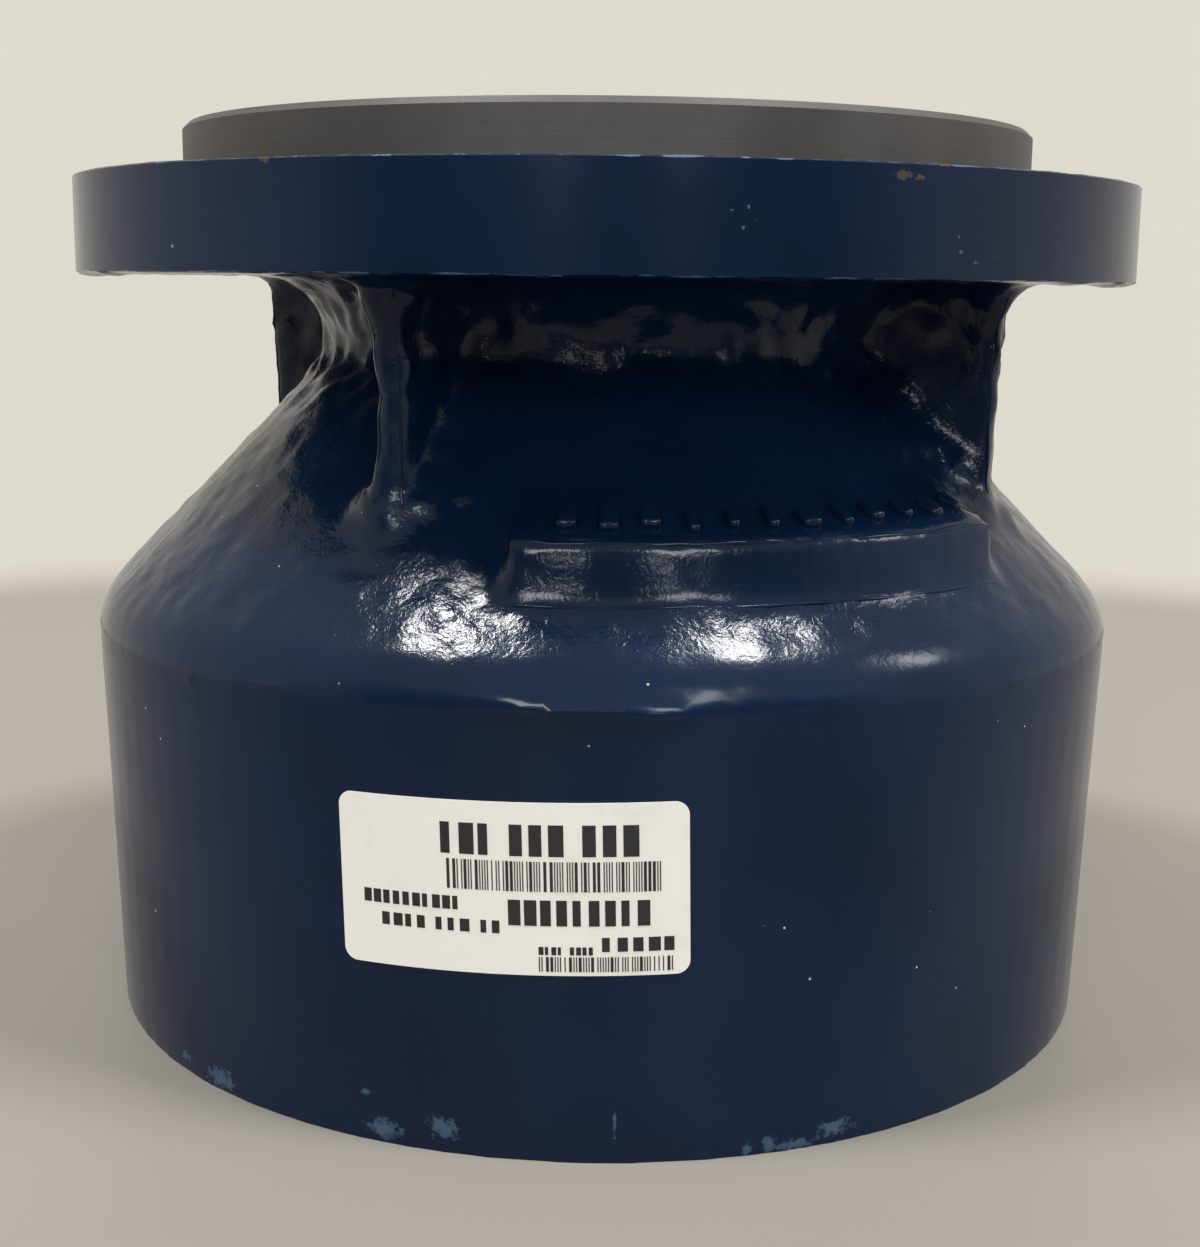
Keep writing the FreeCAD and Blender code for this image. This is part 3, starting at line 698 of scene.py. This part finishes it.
# Places of wear that the photograph shows: angle, radius and height of the middle, and the half
# sizes across and up, all in degrees and millimetres
CHIPS = (
    (25.4, 91.0, 139.3, 1.5, 0.7),
    (27.3, 91.0, 139.0, 0.8, 0.5),
    (-30.5, 91.0, 140.8, 0.8, 0.5),
    (77.0, 91.0, 140.6, 1.2, 0.5),
    (30.0, 91.0, 140.9, 1.0, 0.4),
    (-75.0, 91.0, 125.6, 1.0, 0.5),
)
SCUFFS = (
    (-49.0, 87.3, 2.6, 1.8, 1.0),
    (-42.5, 87.3, 2.0, 4.2, 2.0),
    (-22.8, 87.4, 7.6, 1.2, 0.6),
    (-21.0, 87.3, 2.3, 3.2, 1.8),
    (-14.8, 87.3, 3.7, 2.7, 2.1),
    (1.7, 87.4, 6.8, 0.3, 2.8),
    (14.5, 87.3, 1.2, 0.8, 1.4),
    (16.8, 87.3, 1.4, 1.3, 1.6),
    (19.6, 87.3, 0.9, 3.6, 0.9),
    (23.7, 87.3, 2.4, 3.3, 1.4),
    (74.0, 87.3, 5.0, 0.5, 5.0),
    (-80.0, 87.5, 9.0, 0.4, 3.0),
    (10.2, 91.0, 134.2, 0.35, 0.2),
    (11.6, 91.0, 134.6, 0.3, 0.35),
    (11.2, 91.0, 131.9, 0.35, 0.4),
    (32.0, 91.0, 129.4, 0.5, 0.3),
    (34.0, 91.0, 128.0, 0.7, 0.4),
    (36.5, 91.0, 129.0, 0.4, 0.6),
)


def spots_mask(tree, spots, ragged, soft):
    """1 inside the spots of a list and 0 outside, with one noise for all their ragged edges."""
    nearest = 10.0
    for angle, radius, height, across, up in spots:
        wide = across * MM
        distance = group_outputs(
            tree, "wear_spot", Centre=polar(math.radians(angle), radius * MM, height * MM),
            Size=(wide, wide, up * MM))["Distance"]
        nearest = maths(tree, "MINIMUM", distance, nearest)
    unevenness = maths(tree, "SUBTRACT", noise_at(tree, object_place(tree), 900, 3, 0.65), 0.5)
    reach = maths(tree, "ADD", nearest, maths(tree, "MULTIPLY", unevenness, 4 * ragged))
    return band(tree, reach, 1.0, 1.0 - soft)


def cast_paint(sizes):
    """Glossy navy epoxy over a sand casting, scuffed, chipped and a little dusty, with light lines
    along the flange's edges that are partly rubbed paint and partly a painted highlight.
    """
    material, tree, shader = plain_material("navy_epoxy")
    roughcast = add_node(tree, "ShaderNodeAttribute", attribute_name="roughcast").outputs["Fac"]
    skin = group_outputs(tree, "sand_skin", Roughcast=roughcast)
    scuffs = maths(tree, "MAXIMUM", spots_mask(tree, SCUFFS, 0.7, 0.75), group_outputs(
        tree, "edge_wear_and_highlight", Radius=BASE_RADIUS, Height=0.0, Reach=1.6 * MM, Share=0.10,
        Patches=140.0)["Mask"])
    # Flange's top and bottom edges: light lines, partly rubbed paint and partly a painted highlight
    # standing in for the edges' reflection.
    rubbed_and_highlight = maths(tree, "MAXIMUM", group_outputs(
        tree, "edge_wear_and_highlight", Radius=FLANGE_RADIUS, Height=FLANGE_TOP, Reach=0.7 * MM, Share=0.62,
        Patches=240.0)["Mask"],
        group_outputs(tree, "edge_wear_and_highlight", Radius=FLANGE_RADIUS, Height=FLANGE_BOTTOM,
                      Reach=0.6 * MM, Share=0.75,
                      Patches=200.0)["Mask"])
    chips = spots_mask(tree, CHIPS, 0.8, 0.2)
    dust = group_outputs(tree, "dust")["Mask"]
    colour = mixed(tree, band(tree, skin["Shade"], 0.3, 0.7), sizes.paint,
                   [1.35 * part for part in sizes.paint])
    colour = mixed(tree, maths(tree, "MULTIPLY", scuffs, 0.42), colour, sizes.scuff_and_highlight)
    # Painted highlight and rubbed paint along the flange's edges, mixed in with the scuff colour.
    colour = mixed(tree, maths(tree, "MULTIPLY", rubbed_and_highlight, 0.45), colour, sizes.scuff_and_highlight)
    colour = mixed(tree, chips, colour, sizes.iron)
    colour = mixed(tree, maths(tree, "MULTIPLY", dust, 0.8), colour, (0.55, 0.55, 0.52))
    tree.links.new(colour, shader.inputs["Base Color"])
    worn = maths(tree, "MAXIMUM", maths(tree, "MAXIMUM", scuffs, chips), rubbed_and_highlight)
    gloss = maths(tree, "ADD", maths(tree, "MULTIPLY", skin["Shade"], 0.14), 0.10)
    tree.links.new(maths(tree, "ADD", gloss, maths(tree, "MULTIPLY", worn, 0.35)),
                   shader.inputs["Roughness"])
    shader.inputs["Specular IOR Level"].default_value = 0.22
    bumped(tree, shader, maths(tree, "SUBTRACT", skin["Height"], maths(
        tree, "MULTIPLY", chips, 0.25)), MM)
    return material


def machined_iron(sizes):
    """Bare turned iron with a film of preservative."""
    material, tree, shader = plain_material("machined_iron")
    lines = group_outputs(tree, "lathe_lines", Pitch=0.22 * MM)
    light = [1.5 * part for part in sizes.iron]
    colour = mixed(tree, band(tree, lines["Shade"], 0.35, 0.7), sizes.iron, light)
    colour = mixed(tree, maths(tree, "MULTIPLY", lines["Lines"], 0.35), colour,
                   [2.2 * part for part in sizes.iron])
    tree.links.new(colour, shader.inputs["Base Color"])
    shader.inputs["Metallic"].default_value = 0.35
    tree.links.new(maths(tree, "ADD", maths(tree, "MULTIPLY", lines["Shade"], 0.25), 0.38),
                   shader.inputs["Roughness"])
    bumped(tree, shader, lines["Lines"], 0.02 * MM)
    return material


def turned_bronze(sizes):
    """Turned bearing bronze, a little dulled."""
    material, tree, shader = plain_material("turned_bronze")
    lines = group_outputs(tree, "lathe_lines", Pitch=0.18 * MM)
    dull = [0.45 * part for part in sizes.bronze]
    tree.links.new(mixed(tree, band(tree, lines["Shade"], 0.4, 0.75), sizes.bronze, dull),
                   shader.inputs["Base Color"])
    shader.inputs["Metallic"].default_value = 1.0
    tree.links.new(maths(tree, "ADD", maths(tree, "MULTIPLY", lines["Lines"], 0.2), 0.26),
                   shader.inputs["Roughness"])
    bumped(tree, shader, lines["Lines"], 0.02 * MM)
    return material


def moulded_rubber(sizes):
    """Smooth black rubber with a dusty bloom."""
    material, tree, shader = plain_material("moulded_rubber")
    place = object_place(tree)
    bloom = noise_at(tree, place, 90, 4, 0.6)
    dust = group_outputs(tree, "dust", Specks=500.0)["Mask"]
    colour = mixed(tree, band(tree, bloom, 0.4, 0.75), sizes.rubber,
                   [2.4 * part for part in sizes.rubber])
    tree.links.new(mixed(tree, maths(tree, "MULTIPLY", dust, 0.5), colour, (0.3, 0.3, 0.29)),
                   shader.inputs["Base Color"])
    tree.links.new(maths(tree, "ADD", maths(tree, "MULTIPLY", bloom, 0.2), 0.42),
                   shader.inputs["Roughness"])
    bumped(tree, shader, noise_at(tree, place, 2600, 2), 0.02 * MM)
    return material


def label_paper(sizes):
    """Coated label paper with faint smudges."""
    material, tree, shader = plain_material("label_paper")
    place = object_place(tree)
    smudge = band(tree, noise_at(tree, place, 110, 5, 0.65), 0.52, 0.8)
    dust = group_outputs(tree, "dust", Specks=420.0, Size=0.06)["Mask"]
    colour = mixed(tree, maths(tree, "MULTIPLY", smudge, 0.55), sizes.paper,
                   [0.8 * part for part in sizes.paper])
    tree.links.new(mixed(tree, maths(tree, "MULTIPLY", dust, 0.5), colour, (0.3, 0.3, 0.32)),
                   shader.inputs["Base Color"])
    tree.links.new(maths(tree, "ADD", maths(tree, "MULTIPLY", smudge, 0.15), 0.45),
                   shader.inputs["Roughness"])
    bumped(tree, shader, noise_at(tree, place, 1800, 3, 0.6), 0.012 * MM)
    return material


def thermal_ink(sizes):
    """Black print, thin in places."""
    material, tree, shader = plain_material("thermal_ink")
    thin = noise_at(tree, object_place(tree), 700, 3, 0.6)
    tree.links.new(mixed(tree, band(tree, thin, 0.6, 0.85), sizes.ink,
                         [5 * part for part in sizes.ink]), shader.inputs["Base Color"])
    tree.links.new(maths(tree, "ADD", maths(tree, "MULTIPLY", thin, 0.2), 0.4),
                   shader.inputs["Roughness"])
    return material


class BOWL_OT_cast(bpy.types.Operator):
    """Cast, machine and paint the bowl"""

    bl_idname = "bowl.cast"
    bl_label = "Cast Bowl"

    def execute(self, context):
        sizes = context.scene.bowl_casting
        form = blank_form(frame["nodes"]["bowl_casting"])
        casting = add_object("cast_bowl", finished_form(form, "cast_bowl"))
        remesh = casting.modifiers.new("sand_mould", "REMESH")
        remesh.mode = "VOXEL"
        remesh.voxel_size = sizes.grid
        mesh = settle(casting)
        if len(mesh.polygons) == 0:
            raise RuntimeError("the blank of the bowl has no surface")
        smooth_flow(mesh, sizes.fillet_steps, fillet_share(points_of(mesh)), True)
        smooth_flow(mesh, sizes.round_steps, np.where(at_ledge(points_of(mesh)), 0.35, 1.0),
                    False)
        roughen(mesh, sizes)
        thin_waterway(casting, sizes.inside_share)
        mesh = casting.data
        mesh.materials.clear()
        mesh.materials.append(cast_paint(sizes))
        mesh.materials.append(machined_iron(sizes))
        for face in mesh.polygons:
            face.material_index = 0
        tool = add_object("machining_tool", finished_form(tool_form(), "machining_tool"))
        tool.data.materials.append(mesh.materials[1])
        tool.data.materials.append(mesh.materials[0])
        cut = casting.modifiers.new("machining", "BOOLEAN")
        cut.operation = "DIFFERENCE"
        cut.solver = "EXACT"
        cut.use_self = True
        cut.material_mode = "TRANSFER"
        cut.object = tool
        mesh = settle(casting)
        bpy.data.objects.remove(tool)
        mesh.shade_smooth()
        mesh.set_sharp_from_angle(angle=math.radians(38))
        roughcast = mesh.attributes.new("roughcast", "FLOAT", "POINT")
        roughcast.data.foreach_set("value", roughness_share(points_of(mesh)))
        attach(casting, "root")
        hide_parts("bowl_casting")
        return {"FINISHED"}


class BOWL_OT_marks(bpy.types.Operator):
    """Add the plain raised nubs on the ledge"""

    bl_idname = "bowl.marks"
    bl_label = "Add Ledge Marks"

    def execute(self, context):
        form = bmesh.new()
        edge = Vector((LEDGE_EDGE[0], 0, LEDGE_EDGE[1]))
        head = Vector((LEDGE_HEAD[0], 0, LEDGE_HEAD[1]))
        slope = (head - edge).normalized()
        upright = Vector((slope.z, 0, -slope.x))
        draw = random.Random(5)
        angle = -4.0
        while angle < 47:
            wide = draw.choice((1.7, 2.4, 3.0))
            length = draw.choice((4.6, 5.4, 6.0))
            middle = edge + slope * (5.6 * MM + draw.uniform(-0.5, 0.5) * MM)
            turn = Matrix.Rotation(math.radians(angle - 90), 4, "Z")
            nub = bmesh.ops.create_cube(form, size=1)
            axes = Matrix((Vector((0, 1, 0)), slope, upright)).transposed().to_4x4()
            sizes = Matrix.Diagonal((wide * MM, length * MM, 2.6 * MM, 1))
            bmesh.ops.transform(form, verts=nub["verts"],
                                matrix=turn @ Matrix.Translation(middle) @ axes @ sizes)
            bmesh.ops.bevel(
                form, geom=[edge_of for edge_of in form.edges
                            if all(end in nub["verts"] for end in edge_of.verts)],
                offset=0.78 * MM, segments=4, profile=0.5, affect="EDGES")
            angle += 4.6
        marks = add_object("ledge_marks", finished_form(form, "ledge_marks"),
                           bpy.data.materials["navy_epoxy"])
        marks.data.shade_smooth()
        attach(marks, "root")
        return {"FINISHED"}


def edge_paths():
    """Edges along which the paint has gathered: points, and how thick its bead is."""
    ledge = [math.radians(-10 + 1.5 * step) for step in range(41)]
    paths = [
        ([polar(angle, *LEDGE_EDGE) for angle in ledge], 0.42 * MM),
        ([polar(angle, *LEDGE_FOOT) for angle in ledge], 0.36 * MM),
    ]
    for web in WEB_ANGLES:
        for side in (-1, 1):
            points = []
            for step in range(22):
                share = step / 21
                radius = (70.6 + 1.9 * share) * MM
                height = 91 * MM + share * (FLANGE_BOTTOM - 92.5 * MM)
                points.append(polar(math.radians(web) + side * 2.0 * MM / radius, radius, height))
            paths.append((points, 0.40 * MM))
    return paths


class BOWL_OT_beads(bpy.types.Operator):
    """Lay the beads of paint along the casting's edges"""

    bl_idname = "bowl.beads"
    bl_label = "Lay Paint Beads"

    def execute(self, context):
        casting = bpy.data.objects["cast_bowl"]
        form = bmesh.new()
        sides = 8
        for path, thickness in edge_paths():
            middles = []
            for point in path:
                found, place, normal, face = casting.closest_point_on_mesh(point)
                if not found:
                    raise RuntimeError("a bead of paint has no edge to lie on")
                wander = noise.noise_vector(point / (8 * MM)) * 0.55 * thickness
                middles.append(place - normal * 0.12 * MM + wander)
            rings = []
            last = len(middles) - 1
            for index, middle in enumerate(middles):
                along = (middles[min(index + 1, last)] - middles[max(index - 1, 0)]).normalized()
                across = along.orthogonal().normalized()
                other = along.cross(across)
                swell = 0.75 + 0.45 * noise.noise(middle / (5 * MM))
                radius = thickness * (swell if 0 < index < last else 0.2)
                rings.append([form.verts.new(middle + radius * (
                    math.cos(math.tau * side / sides) * across
                    + math.sin(math.tau * side / sides) * other)) for side in range(sides)])
            for before, after in zip(rings, rings[1:]):
                turn = min(range(sides), key=lambda step: (
                    after[step].co - before[0].co).length)
                after[:] = after[turn:] + after[:turn]
                for side in range(sides):
                    beside = (side + 1) % sides
                    form.faces.new((before[side], before[beside], after[beside], after[side]))
            form.faces.new(rings[0])
            form.faces.new(reversed(rings[-1]))
        beads = add_object("paint_beads", finished_form(form, "paint_beads"),
                           bpy.data.materials["navy_epoxy"])
        beads.data.shade_smooth()
        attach(beads, "root")
        return {"FINISHED"}


class BOWL_OT_bearing(bpy.types.Operator):
    """Finish the bearing's shell and lining"""

    bl_idname = "bowl.bearing"
    bl_label = "Finish Bearing"

    def execute(self, context):
        sizes = context.scene.bowl_bearing
        for name, material in (("bearing_shell", turned_bronze(sizes)),
                               ("bearing_lining", moulded_rubber(sizes))):
            mesh = frame["nodes"][name].data
            mesh.materials.clear()
            mesh.materials.append(material)
        return {"FINISHED"}


# Print on the label: left and right edge, lower and upper edge, in millimetres from its middle
BAR_ROWS = (
    (-8.9, 21.7, -0.25, 4.15),
    (4.0, 23.6, -12.1, -9.9),
)
WORDS = (
    (-9.7, -1.5, 4.9, 9.5, 3),
    (0.2, 8.4, 4.9, 9.5, 3),
    (10.4, 18.9, 4.9, 9.5, 3),
    (-21.7, -6.7, -3.4, -1.4, 10),
    (-19.0, -11.8, -6.6, -4.7, 4),
    (-10.8, -5.4, -6.6, -4.7, 3),
    (-4.2, -0.9, -6.6, -4.7, 2),
    (-0.2, 20.2, -5.3, -1.5, 9),
    (4.0, 7.6, -9.6, -8.4, 4),
    (8.4, 11.9, -9.6, -8.4, 4),
    (12.9, 23.8, -9.1, -7.0, 5),
)


class BOWL_OT_label(bpy.types.Operator):
    """Finish the label and print its bars and blocks"""

    bl_idname = "bowl.label"
    bl_label = "Print Label"

    def execute(self, context):
        sizes = context.scene.bowl_label
        paper = frame["nodes"]["label"].data
        paper.materials.clear()
        paper.materials.append(label_paper(sizes))
        middle = (LABEL_LOW.z + LABEL_HIGH.z) / 2
        thickness = 0.15 * MM
        form = bmesh.new()

        def on_label(across, up, lift):
            """Point on the label's face, from millimetres across and up it."""
            turned = Vector((across, up)) * MM
            turned.rotate(Matrix.Rotation(sizes.tilt, 2))
            height = middle + turned.y
            radius = BASE_RADIUS + (PARTING_RADIUS - BASE_RADIUS) * height / PARTING
            around = sizes.angle + turned.x / (radius - 0.2 * MM)
            return polar(around, radius + thickness + lift, height)

        def add_tile(left, right, low, high):
            """Thin closed tile of ink that follows the label's face."""
            steps = max(1, math.ceil((right - left) / 1.5))
            rows = []
            for step in range(steps + 1):
                across = left + (right - left) * step / steps
                rows.append([form.verts.new(on_label(across, up, lift)) for up, lift in (
                    (low, -0.01 * MM), (low, sizes.ink_height),
                    (high, sizes.ink_height), (high, -0.01 * MM))])
            for before, after in zip(rows, rows[1:]):
                for side in range(4):
                    other = (side + 1) % 4
                    form.faces.new((before[side], after[side], after[other], before[other]))
            form.faces.new(rows[0])
            form.faces.new(reversed(rows[-1]))

        draw = random.Random(11)
        for left, right, low, high in BAR_ROWS:
            across = left
            while across < right - 0.6:
                wide = draw.choice((0.17, 0.17, 0.17, 0.42))
                add_tile(across, across + wide, low, high)
                across += wide + draw.choice((0.2, 0.2, 0.2, 0.46))
        for left, right, low, high, count in WORDS:
            pitch = (right - left) / count
            for place in range(count):
                start = left + place * pitch
                add_tile(start, start + draw.choice((0.5, 0.66, 0.78)) * pitch, low, high)
        ink = add_object("label_print", finished_form(form, "label_print"), thermal_ink(sizes))
        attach(ink, "root")
        return {"FINISHED"}


# Soft square lamps: name, place, side and power
LAMPS = (
    ("lamp_left", (-0.66, -0.30, 1.7), 0.30, 25),
    ("lamp_right", (0.62, -0.36, 1.7), 0.30, 25),
    ("lamp_front_left", (-0.49, -1.75, 0.92), 0.40, 8),
    ("lamp_front_right", (0.60, -1.70, 0.92), 0.40, 8),
    ("lamp_side", (1.60, -0.25, 1.20), 0.35, 6),
    ("lamp_low_left", (-0.35, -2.20, 0.49), 0.14, 1.1),
    ("lamp_low_right", (0.55, -2.15, 0.49), 0.14, 1.1),
)


class BOWL_OT_stage(bpy.types.Operator):
    """Set up the floor, the lamps and the camera"""

    bl_idname = "bowl.stage"
    bl_label = "Set Stage"

    def execute(self, context):
        sizes = context.scene.bowl_stage
        scene = context.scene
        scene.view_settings.view_transform = "Standard"
        form = bmesh.new()
        bmesh.ops.create_circle(form, cap_ends=True, segments=256, radius=sizes.floor_radius)
        floor = add_object("floor", finished_form(form, "floor"))
        material, tree, shader = plain_material("floor_paint")
        place = object_place(tree)
        depth = add_node(tree, "ShaderNodeSeparateXYZ", {"Vector": place}).outputs["Y"]
        radius = round_place(tree, place)[0]
        pale = mixed(tree, noise_at(tree, place, 9, 3), [0.93 * part for part in sizes.floor],
                     sizes.floor)
        # Painted shade: the floor is painted darker towards the front, on the camera's side.
        pale = mixed(tree, band(tree, depth, 0.0, -0.28), pale,
                     [0.75 * part for part in sizes.floor])
        rim = band(tree, radius, sizes.floor_radius - 0.10, sizes.floor_radius)
        tree.links.new(mixed(tree, rim, pale, [0.5 * part for part in sizes.room]),
                       shader.inputs["Base Color"])
        shader.inputs["Roughness"].default_value = 0.5
        floor.data.materials.append(material)
        world = bpy.data.worlds.new("room")
        world.use_nodes = True
        tree = world.node_tree
        background = tree.nodes["Background"]
        facing = add_node(tree, "ShaderNodeSeparateXYZ", {
            "Vector": tree.nodes.new("ShaderNodeTexCoord").outputs["Generated"]}).outputs
        seen = tree.nodes.new("ShaderNodeLightPath").outputs["Is Camera Ray"]
        dim = maths(tree, "MULTIPLY", band(tree, facing["Y"], -0.35, -0.75),
                    band(tree, facing["Z"], 0.5, 0.3))
        dim = maths(tree, "MULTIPLY", dim, maths(tree, "SUBTRACT", 1.0, seen))
        tree.links.new(mixed(tree, dim, sizes.room, sizes.shade), background.inputs["Color"])
        scene.world = world
        for name, place, side, power in LAMPS:
            light = bpy.data.lights.new(name, "AREA")
            light.size = side
            light.energy = power
            lamp = bpy.data.objects.new(name, light)
            lamp.location = place
            aim = Vector((0, 0, 0.08)) - lamp.location
            lamp.rotation_euler = aim.to_track_quat("-Z", "Y").to_euler()
            scene.collection.objects.link(lamp)
        camera_data = bpy.data.cameras.new("camera")
        camera_data.lens = sizes.lens
        camera_data.sensor_width = 36
        camera_data.clip_start = 0.01
        camera = bpy.data.objects.new("camera", camera_data)
        scene.collection.objects.link(camera)
        camera.matrix_world = (
            Matrix.Translation((sizes.aside, -sizes.distance, sizes.height))
            @ Matrix.Rotation(math.pi / 2 - sizes.tilt, 4, "X")
            @ Matrix.Rotation(sizes.roll, 4, "Z"))
        scene.camera = camera
        return {"FINISHED"}


SETTINGS = {
    "bowl_casting": BowlCasting,
    "bowl_bearing": BowlBearing,
    "bowl_label": BowlLabel,
    "bowl_stage": BowlStage,
}
OPERATORS = (
    BOWL_OT_cast, BOWL_OT_marks, BOWL_OT_beads, BOWL_OT_bearing, BOWL_OT_label, BOWL_OT_stage)


class BOWL_PT_panel(bpy.types.Panel):
    """Steps that build the bowl"""

    bl_label = "Pump Bowl"
    bl_idname = "BOWL_PT_panel"
    bl_space_type = "VIEW_3D"
    bl_region_type = "UI"
    bl_category = "Pump Bowl"

    def draw(self, context):
        for operator in OPERATORS:
            self.layout.operator(operator.bl_idname)
        for name, settings in SETTINGS.items():
            box = self.layout.box()
            for size in settings.__annotations__:
                box.prop(getattr(context.scene, name), size)


CLASSES = (*SETTINGS.values(), *OPERATORS, BOWL_PT_panel)


def register():
    for each in CLASSES:
        bpy.utils.register_class(each)
    for name, settings in SETTINGS.items():
        setattr(bpy.types.Scene, name, PointerProperty(type=settings))


def unregister():
    for name in SETTINGS:
        delattr(bpy.types.Scene, name)
    for each in reversed(CLASSES):
        bpy.utils.unregister_class(each)


def main():
    register()
    bpy.ops.bowl.cast()
    bpy.ops.bowl.marks()
    bpy.ops.bowl.beads()
    bpy.ops.bowl.bearing()
    bpy.ops.bowl.label()
    bpy.ops.bowl.stage()


if __name__ == "__main__":
    main()
